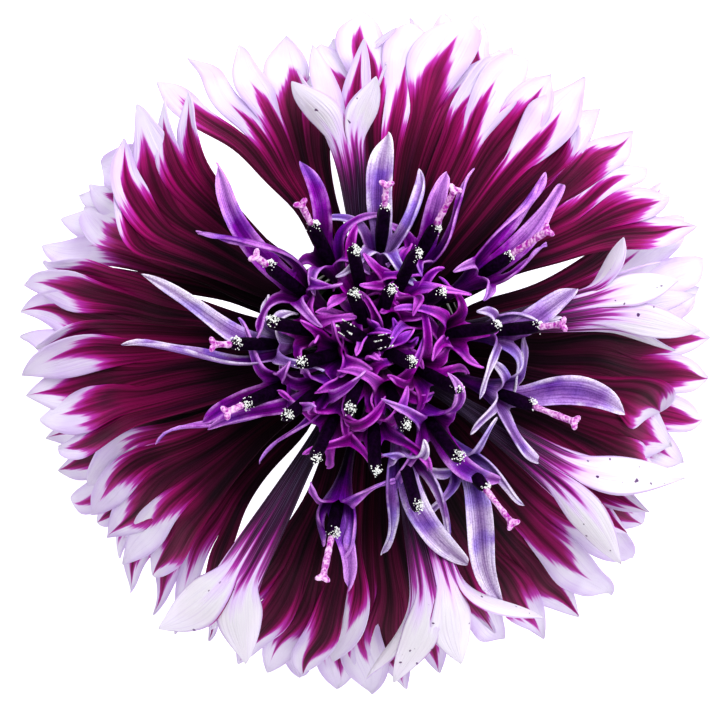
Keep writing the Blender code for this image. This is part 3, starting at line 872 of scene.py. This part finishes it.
def mix_disc_petal(name, dark, middle, light):
    """The violet of a disc floret's lobes, from its throat to their tips."""
    tree = Tree(name)
    across, along, place = strand_of(tree)
    lobe, local = in_lobe(across)
    aside = local.maths("ABSOLUTE")
    dice = tree.dice(lobe)[0] - 0.5
    grain = tree.noise_at(across * 5, along * 1.2, 1.0, 3.0) - 0.5
    patch = tree.noise_on(place, 420.0, 2.0) - 0.5
    # The throat end of the ramp runs to near black: partly the floret's own deep violet and partly
    # painted shade down in the tube.
    colour = tree.ramp(
        (along + grain * 0.7 + patch * 1.9 + dice * 0.6) * 0.5,
        (0.06, (0.008, 0.001, 0.014)),
        (0.36, dark),
        (0.70, middle),
        (0.98, light),
    )
    cool = tree.noise_on(place, 330.0, 2.0).over(0.48, 0.62)
    colour = tree.blend(cool * 0.6, colour, (0.42, 0.30, 0.94), "MULTIPLY")
    # Painted shade along the middle of each lobe, in its fold.
    crease_shade = (1 - aside.over(0.05, 0.7)) * 0.75
    colour = tree.blend(crease_shade, colour, (0.32, 0.2, 0.4), "MULTIPLY")
    veins = tree.noise_at(across * 22, along * 1.7, 1.0, 3.0).over(0.44, 0.62)
    colour = tree.blend(veins * 0.55, colour, (0.26, 0.14, 0.36), "MULTIPLY")
    # Painted highlight: the edges of the lobes near their tips are lightened, in broken patches.
    highlight_breakup = tree.noise_on(place, 700.0).over(0.35, 0.65)
    rim = aside.over(0.55, 0.95) * along.over(0.95, 1.3) * highlight_breakup
    colour = tree.blend(rim * 0.75, colour, light)
    glitter = tree.noise_on(place, 9000.0, 1.0).over(0.3, 0.62)
    colour = tree.blend((1 - glitter) * 0.35, colour, (0.3, 0.2, 0.4), "MULTIPLY")
    tree.set(Base_Color=colour, Roughness=0.42, Specular_IOR_Level=0.2, Specular_Tint=PURPLE_GLOSS)
    tree.bump(tree.noise_at(across * 20, along * 3, 2.0, 2.0), 0.0001, 0.6)
    return tree.material


violet_petal = mix_disc_petal(
    "disc_violet", (0.19, 0.001, 0.18), (0.42, 0.004, 0.45), (0.80, 0.19, 0.90)
)
lilac_petal = mix_disc_petal(
    "disc_lilac", (0.15, 0.001, 0.18), (0.34, 0.012, 0.48), (0.78, 0.38, 0.92)
)
pale_petal = mix_disc_petal(
    "disc_pale", (0.17, 0.006, 0.24), (0.50, 0.30, 0.74), (0.92, 0.84, 0.99)
)
print("disc petal materials:", violet_petal.name, lilac_petal.name, pale_petal.name)

# %% [markdown]
# How wide a disc floret's lobes spread follows from its neighbours: in the crowded middle they
# stand up and curl, and at the edge they lie back. The florets lean out more the further out they
# stand, and their tips make a flat dome. One could bend a single floret over and over, but grown
# anew each one keeps its tube inside the cup and its tips where they were listed.

# %% Grow the disc florets
DOME_TOP = 27.6
DOME_FALL = 0.021
MOST_LEAN = 62
LEAN_WITHIN = 5.5
LEAST_OUT = 4.2
THROAT_BACK = 3.7
DISC_SHOULDER = 17.4
DISC_LOBES = 5
FLARE = 4.0
MOST_SPREAD = 4.2
DISC_ROWS = (8, 4, 8)
DISC_COLUMNS = 4
DISC_WALL = 0.17
PALE_ONES = (17, 22, 24, 27, 28, 29)
DISC_LOOK = {
    "swell": 0.2, "point": (0.42, 0.7), "fold": (0.1, 0.7), "ripple": 0.5, "bend": 0.13,
    "curl": -0.4, "loose": 2.0, "layer": 0.0, "drift": 0.3, "waist": 0.4, "centred": True,
}


class DiscFloret:
    """Where one disc floret stands: its axis, its throat and the end of its column of anthers."""

    def __init__(self, row, seat):
        azimuth, out_by, self.style, self.long_tips = row
        out = outward(azimuth)
        lean = radians(MOST_LEAN * (1 - exp(-max(out_by, LEAST_OUT) / LEAN_WITHIN)))
        self.axis = out * sin(lean) + Vector((0, 0, cos(lean)))
        self.tip = out * out_by + Vector((0, 0, DOME_TOP - DOME_FALL * out_by**2))
        self.anthers = self.tip - self.axis * self.style
        self.throat = self.tip - self.axis * (THROAT_BACK + 0.6 * self.style)
        self.seat, self.out_by = seat, out_by
        self.side = Vector((-out.y, out.x, 0))

    def lobe_tips(self, chance):
        """The tips of the five lobes, with the long ones in place of those that point their way."""
        front = self.axis.cross(self.side)
        tips = []
        for lobe in range(DISC_LOBES):
            turn = (2 * lobe + 1) / DISC_LOBES * pi - pi + chance.uniform(-0.4, 0.4)
            away = self.side * sin(turn) - front * cos(turn)
            spread = min(MOST_SPREAD, 2.0 + 0.24 * self.out_by) * chance.uniform(0.6, 1.3)
            rise = chance.uniform(-0.6, 2.6) - 0.1 * self.out_by
            tips.append([self.throat + away * spread + self.axis * rise, 1.0])
        free = list(range(DISC_LOBES))
        for azimuth, reach, height, breadth in self.long_tips:
            goal = outward(azimuth) * reach + Vector((0, 0, height))
            lobe = min(free, key=lambda i: (tips[i][0] - goal).length)
            free.remove(lobe)
            tips[lobe] = [goal, breadth * 1.5]
        return tips


def closed(along):
    return pi


def grow_disc(number, plan):
    """The tube and the lobes of one disc floret."""
    shoulder = plan.seat + Vector((0, 0, DISC_SHOULDER))
    line = Line(plan.seat, shoulder, plan.throat - plan.axis * FLARE, plan.throat)
    opens = line.length - FLARE

    def half_width(along):
        near = max(0.0, along - opens) / FLARE
        ovary = 0.14 * exp(-(((along - 1.4) / 0.9) ** 2))
        return pi * (0.24 + ovary + 0.86 * near**2.2)

    tips = plan.lobe_tips(random.Random(700 + number))
    shape = (line, plan.side, opens, line.length, half_width, closed, tips, DISC_LOOK)
    sheet = Floret(40 + number, *shape).build(DISC_ROWS, DISC_COLUMNS)
    petal = lilac_petal if plan.long_tips else violet_petal
    if number in PALE_ONES:
        petal = pale_petal
    node = f"disc_floret_{number:02d}"
    piece = as_piece(sheet, f"disc_{number:02d}", (petal,), node)
    give_wall(piece, DISC_WALL)
    return piece


disc_plans = [DiscFloret(row, seat) for row, seat in zip(DISC, disc_seats)]
discs = [grow_disc(number, plan) for number, plan in enumerate(disc_plans, 1)]
print(len(discs), "disc florets,", faces_of(discs), "faces before their walls")

# %% [markdown]
# Inside each disc floret the five anthers are joined into a dark ribbed column, whose top is
# crusted with white pollen. On the older florets at the edge the style has grown out through the
# column: a rough pink rod that ends in two short branches. The two florets in the very middle are
# still shut: they taper, and their pollen shows in rows along the ribs. The column is a turned
# profile with ribs, and the pollen is many tiny balls, each with only twenty faces, as there are
# hundreds. A bumpy ball could stand for the pollen, but then its edge would be round.

# %% Mix the anthers, the pollen and the styles
def mix_grainy(name, low, high, roughness, grain, distance, gloss=(1, 1, 1)):
    """A finish of two colours in fine grains that stand out a little."""
    tree = Tree(name)
    _, _, place = strand_of(tree)
    coarse = tree.noise_on(place, grain * 0.25, 2.0)
    fine = tree.noise_on(place, grain, 2.0)
    colour = tree.blend((coarse * 0.5 + fine * 0.7 - 0.1).over(0.3, 0.75), low, high)
    tree.set(Base_Color=colour, Roughness=roughness - fine * 0.2)
    tree.set(Specular_IOR_Level=0.15, Specular_Tint=gloss)
    tree.bump(fine, distance)
    return tree.material


anther_dark = mix_grainy(
    "anther_dark", (0.001, 0.0002, 0.002), (0.012, 0.001, 0.020), 0.75, 5200.0, 0.00004,
    gloss=PURPLE_GLOSS,
)
pollen_white = mix_grainy(
    "pollen_white", (0.70, 0.72, 0.70), (0.95, 0.96, 0.93), 0.8, 9000.0, 0.00002
)
style_pink = mix_grainy(
    "style_pink", (0.40, 0.01, 0.38), (0.97, 0.66, 0.97), 0.6, 5200.0, 0.00008
)
print("column materials:", anther_dark.name, pollen_white.name, style_pink.name)

# %% Set the columns, their pollen and the styles
COLUMN_RADIUS = 0.46
STILL_SHUT = (1, 2)
STYLE_RADIUS = 0.21
COLUMN_DEPTH = 2.6
RIB_DEPTH = 0.16
GRAINS = 70


def once_each(items):
    """The items without repeats and in their order, which a set would shuffle from run to run."""
    return list(dict.fromkeys(items))


def turned(bm, profile, foot, axis, segments=12, material=0):
    """Spins a profile of (radius, height) round an axis that starts at foot."""
    made = bmesh.ops.create_circle(bm, segments=segments, radius=profile[0][0])["verts"]
    edges = once_each(edge for vert in made for edge in vert.link_edges)
    rings = [list(made)]
    for radius, height in profile[1:]:
        grown = bmesh.ops.extrude_edge_only(bm, edges=edges)["geom"]
        edges = [item for item in grown if isinstance(item, bmesh.types.BMEdge)]
        ring = [item for item in grown if isinstance(item, bmesh.types.BMVert)]
        for vert in ring:
            spread = vert.co.xy.normalized() * radius
            vert.co = Vector((spread.x, spread.y, height))
        rings.append(ring)
        edges = [edge for edge in edges if all(vert in ring for vert in edge.verts)]
    verts = [vert for ring in rings for vert in ring]
    ends = once_each(edge for vert in rings[0] + rings[-1] for edge in vert.link_edges)
    rims = [edge for edge in ends if edge.is_boundary]
    bmesh.ops.holes_fill(bm, edges=rims, sides=segments)
    turn = Vector((0, 0, 1)).rotation_difference(axis).to_matrix()
    bmesh.ops.rotate(bm, verts=verts, matrix=turn)
    bmesh.ops.translate(bm, verts=verts, vec=foot)
    faces = once_each(face for vert in verts for face in vert.link_faces)
    bmesh.ops.recalc_face_normals(bm, faces=faces)
    for face in faces:
        face.material_index = material
    return verts


def grow_column(number, plan):
    """A floret's column of anthers, with its pollen and its style."""
    chance = random.Random(300 + number)
    shut = number in STILL_SHUT
    bm = bmesh.new()
    foot = plan.throat - plan.axis * COLUMN_DEPTH
    tall = (plan.anthers - foot).length
    profile = [(0.16, 0.0), (0.2, 1.6), (COLUMN_RADIUS * 0.8, 2.3), (COLUMN_RADIUS, 3.2),
               (COLUMN_RADIUS, tall - 0.7), (COLUMN_RADIUS * 0.86, tall - 0.3), (0.22, tall)]
    if shut:
        profile[-3:] = [(COLUMN_RADIUS * 1.15, tall - 0.9), (COLUMN_RADIUS, tall - 0.2),
                        (0.1, tall + 0.5)]
    ribs = turned(bm, profile, foot, plan.axis, segments=10)
    for vert in ribs[1::2]:
        from_foot = vert.co - foot
        vert.co -= (from_foot - plan.axis * from_foot.dot(plan.axis)) * RIB_DEPTH
    grow_pollen(bm, plan, chance, shut)
    if plan.style > 1:
        grow_style(bm, plan, chance)
    finishes = (anther_dark, pollen_white, style_pink)
    node = f"disc_floret_{number:02d}"
    return as_piece(bm, f"anthers_{number:02d}", finishes, node)


def grow_pollen(bm, plan, chance, shut):
    """Grains over the column's top, thickest on one side, or in rows up the ribs of a shut one."""
    heavy = Vector((chance.uniform(0.2, 1), chance.uniform(-0.2, 1), 0.6)).normalized()
    front = plan.axis.cross(plan.side)
    for spot_number in range(GRAINS):
        if shut:
            turn = spot_number % 5 * 2 * pi / 5 + chance.gauss(0, 0.06)
            rib = plan.side * cos(turn) + front * sin(turn)
            spot = plan.anthers + plan.axis * chance.uniform(-0.8, 0.3)
            spot += rib * COLUMN_RADIUS * 0.98
        else:
            where = Vector([chance.gauss(0, 1) for _ in range(3)]) * 0.6
            where = (where + heavy * 1.1 + plan.axis * 0.6).normalized()
            spot = plan.anthers - plan.axis * 0.35
            spot += where * COLUMN_RADIUS * chance.uniform(0.98, 1.2)
        radius = chance.uniform(0.024, 0.06)
        grain = bmesh.ops.create_icosphere(bm, subdivisions=1, radius=radius)["verts"]
        bmesh.ops.translate(bm, verts=grain, vec=spot)
        for face in once_each(face for vert in grain for face in vert.link_faces):
            face.material_index = 1


def grow_style(bm, plan, chance):
    """A rough rod out of the column, with two short branches at its end."""
    rod = [(STYLE_RADIUS, -0.4)]
    for step in range(1, 9):
        rod.append((STYLE_RADIUS * chance.uniform(0.86, 1.2), plan.style * step / 9))
    rod += [(STYLE_RADIUS * 1.5, plan.style * 0.93), (STYLE_RADIUS * 1.1, plan.style)]
    turned(bm, rod, plan.anthers, plan.axis, segments=10, material=2)
    for sign in (-1, 1):
        away = (plan.side * sign + plan.axis * 0.55).normalized()
        tip = plan.anthers + plan.axis * plan.style * 0.95
        branch = [(0.15, 0.0), (0.21, 0.2), (0.18, 0.42), (0.07, 0.54)]
        turned(bm, branch, tip, away, segments=8, material=2)


columns = [grow_column(number, plan) for number, plan in enumerate(disc_plans, 1)]
print(len(columns), "columns of anthers")

# %% [markdown]
# The cup is built of rows of bracts that overlap like tiles. Each bract is a stiff green scale
# with a dark margin that is cut into fine teeth. One could model a single scale and copy it; here
# each is drawn again from a grid, so that the scales can differ a little and the wall follows the
# cup's round shape.

# %% Mix the green finishes
def mix_green(name, low, high, dark):
    """A mottled green with fine ribs and a dark margin."""
    tree = Tree(name)
    across, along, place = strand_of(tree)
    mottle = tree.noise_on(place, 700.0, 3.0)
    ribs = tree.noise_at(across * 14, along * 0.8, 1.0, 2.0)
    colour = tree.blend((mottle * 0.5 + ribs * 0.6 - 0.05).over(0.3, 0.8), low, high)
    edge = (across * 2 - 1).maths("ABSOLUTE").maths("MAXIMUM", along)
    margin = (edge + (ribs - 0.5) * 0.25).over(0.72, 0.92)
    colour = tree.blend(margin * 0.9, colour, dark)
    tree.set(Base_Color=colour, Roughness=0.6 - mottle * 0.15, Sheen_Weight=0.1)
    tree.bump(ribs, 0.00008, 0.6)
    return tree.material


bract_green = mix_green(
    "bract_green", (0.05, 0.11, 0.03), (0.17, 0.27, 0.09), (0.035, 0.012, 0.012)
)
stem_green = mix_green(
    "stem_green", (0.07, 0.13, 0.04), (0.20, 0.30, 0.11), (0.06, 0.11, 0.04)
)
print("green finishes:", bract_green.name, stem_green.name)

# %% Build the cup of bracts
BRACT_ROWS = 4
BRACTS_IN_ROW = 9
BRACT_STEP = 0.52
BRACT_FOOT = 3.55
BRACT_FOOT_STEP = 0.86
BRACT_TIP_STEP = 2.5
CUP_RADIUS = 5.05
CUP_MOUTH = 12.4
BRACT_WALL = 0.12
FLANK = ((1.5, 0.9), (4.5, 3.9))


def cup_profile(row):
    """A row of bracts in section, from where it leaves the receptacle's flank to its tips."""
    low, high = FLANK
    foot = BRACT_FOOT - BRACT_FOOT_STEP * row
    start = low[0] + (foot - low[1]) * (high[0] - low[0]) / (high[1] - low[1]) + BRACT_STEP
    wall = CUP_RADIUS + BRACT_STEP * row
    bend = max(start + 0.05, wall - 0.45)
    bend_height = foot + 0.364 * (bend - start)
    tip = CUP_MOUTH - BRACT_TIP_STEP * row
    knee = bend_height + 1.0
    swollen = (wall + 0.1, (knee + tip) / 2)
    return [(start, foot), (bend, bend_height), (wall, knee), swollen, (wall, tip)]


def up_the_wall(profile, share):
    """(radius, height) at a share of the way up a row."""
    legs = [hypot(b[0] - a[0], b[1] - a[1]) for a, b in zip(profile, profile[1:])]
    left = share * sum(legs)
    for (a, b), leg in zip(zip(profile, profile[1:]), legs):
        if left <= leg + 1e-9:
            return [one + (other - one) * left / leg for one, other in zip(a, b)]
        left -= leg
    return profile[-1]


def draw_bract(bm, strand, row, place, chance):
    """One scale of the cup, with its toothed margin."""
    columns, rows = 12, 16
    made = bmesh.ops.create_grid(bm, x_segments=columns, y_segments=rows, size=0.5)["verts"]
    for face in once_each(face for vert in made for face in vert.link_faces):
        for loop in face.loops:
            loop[strand].uv = (loop.vert.co.x + 0.5, loop.vert.co.y + 0.5)
    profile = cup_profile(row)
    middle = (place + 0.5 * (row % 2)) * 2 * pi / BRACTS_IN_ROW + chance.uniform(-0.03, 0.03)
    length = chance.uniform(0.94, 1.0)
    for vert in made:
        across, along = 2 * vert.co.x, vert.co.y + 0.5
        column, step = round((across + 1) / 2 * columns), round(along * rows)
        outline = 1.22 * (1 - max(0.0, along - 0.45) ** 1.6 / 0.55**1.6 * 0.86)
        if step > rows * 0.45 and column in (0, columns):
            outline += 0.16 * (step % 2) - 0.04
        radius, height = up_the_wall(profile, along * length)
        radius += 0.06 * across - 0.10 * across * across * along
        turn = middle + across * outline * pi / BRACTS_IN_ROW
        vert.co = Vector((radius * cos(turn), radius * sin(turn), height))


def build_bract_row(row):
    """A ring of overlapping scales."""
    chance = random.Random(900 + row)
    bm = bmesh.new()
    strand = bm.loops.layers.uv.new("strand")
    for place in range(BRACTS_IN_ROW):
        draw_bract(bm, strand, row, place, chance)
    node = f"bract_row_{row + 1}"
    piece = as_piece(bm, f"cup_row_{row + 1}", (bract_green,), node)
    give_wall(piece, BRACT_WALL)
    return piece


cup = [build_bract_row(row) for row in range(BRACT_ROWS)]
print(len(cup), "rows of", BRACTS_IN_ROW, "bracts each")

# %% [markdown]
# Below the cup is the stub of the stem, nipped off, which widens into the receptacle that carries
# everything. Both grew as one piece, so one profile is spun into both. The cut end shows pale pith,
# and shallow ribs run up the stub. A cylinder and a ball could be joined instead, but their seam
# would have to be hidden.

# %% Turn the stem and the receptacle
STEM_RADIUS = 1.3
STEM_STEPS = 40
STEM_RIBS = 8
STEM_RIB_DEPTH = 0.035
CUT_HEIGHT = 0.08


def mix_pith():
    """The pale, porous inside of the stem."""
    tree = Tree("cut_pith")
    _, _, place = strand_of(tree)
    pores = tree.noise_on(place, 4200.0, 2.0)
    pith = tree.blend(pores.over(0.3, 0.7), (0.28, 0.33, 0.16), (0.66, 0.70, 0.48))
    tree.set(Base_Color=pith, Roughness=0.8)
    tree.bump(pores, 0.00005)
    return tree.material


def build_stem():
    """The stub of the stem and the receptacle, spun as one."""
    profile = [(0, 0.06), (STEM_RADIUS * 0.9, 0.02), (STEM_RADIUS, 0.14),
               (STEM_RADIUS * 0.95, 0.5), FLANK[0], (2.7, 2.0), FLANK[1], (4.3, 4.7),
               (3.0, RECEPTACLE_TOP), (0, RECEPTACLE_TOP)]
    bm = bmesh.new()
    points = [bm.verts.new((radius, 0, height)) for radius, height in profile]
    edges = [bm.edges.new(pair) for pair in zip(points, points[1:])]
    bmesh.ops.spin(
        bm, geom=points + edges, axis=(0, 0, 1), angle=2 * pi, steps=STEM_STEPS, use_merge=True
    )
    bmesh.ops.remove_doubles(bm, verts=bm.verts, dist=1e-4)
    bmesh.ops.recalc_face_normals(bm, faces=bm.faces)
    strand = bm.loops.layers.uv.new("strand")
    for face in bm.faces:
        centre = face.calc_center_median()
        middle = atan2(centre.y, centre.x)
        face.material_index = 1 if centre.z < CUT_HEIGHT else 0
        for loop in face.loops:
            turn = atan2(loop.vert.co.y, loop.vert.co.x) - middle
            turn = middle + (turn + pi) % (2 * pi) - pi
            loop[strand].uv = (turn / (2 * pi), loop.vert.co.z / RECEPTACLE_TOP)
    for vert in bm.verts:
        if 0.1 < vert.co.z < 2.1:
            rib = 1 + STEM_RIB_DEPTH * cos(STEM_RIBS * atan2(vert.co.y, vert.co.x))
            vert.co.x, vert.co.y = vert.co.x * rib, vert.co.y * rib
    piece = as_piece(bm, "stem_and_receptacle", (stem_green, mix_pith()), "stem")
    round_off(piece)
    return piece


stem = build_stem()
print("stem and receptacle turned,", faces_of([stem]), "faces")
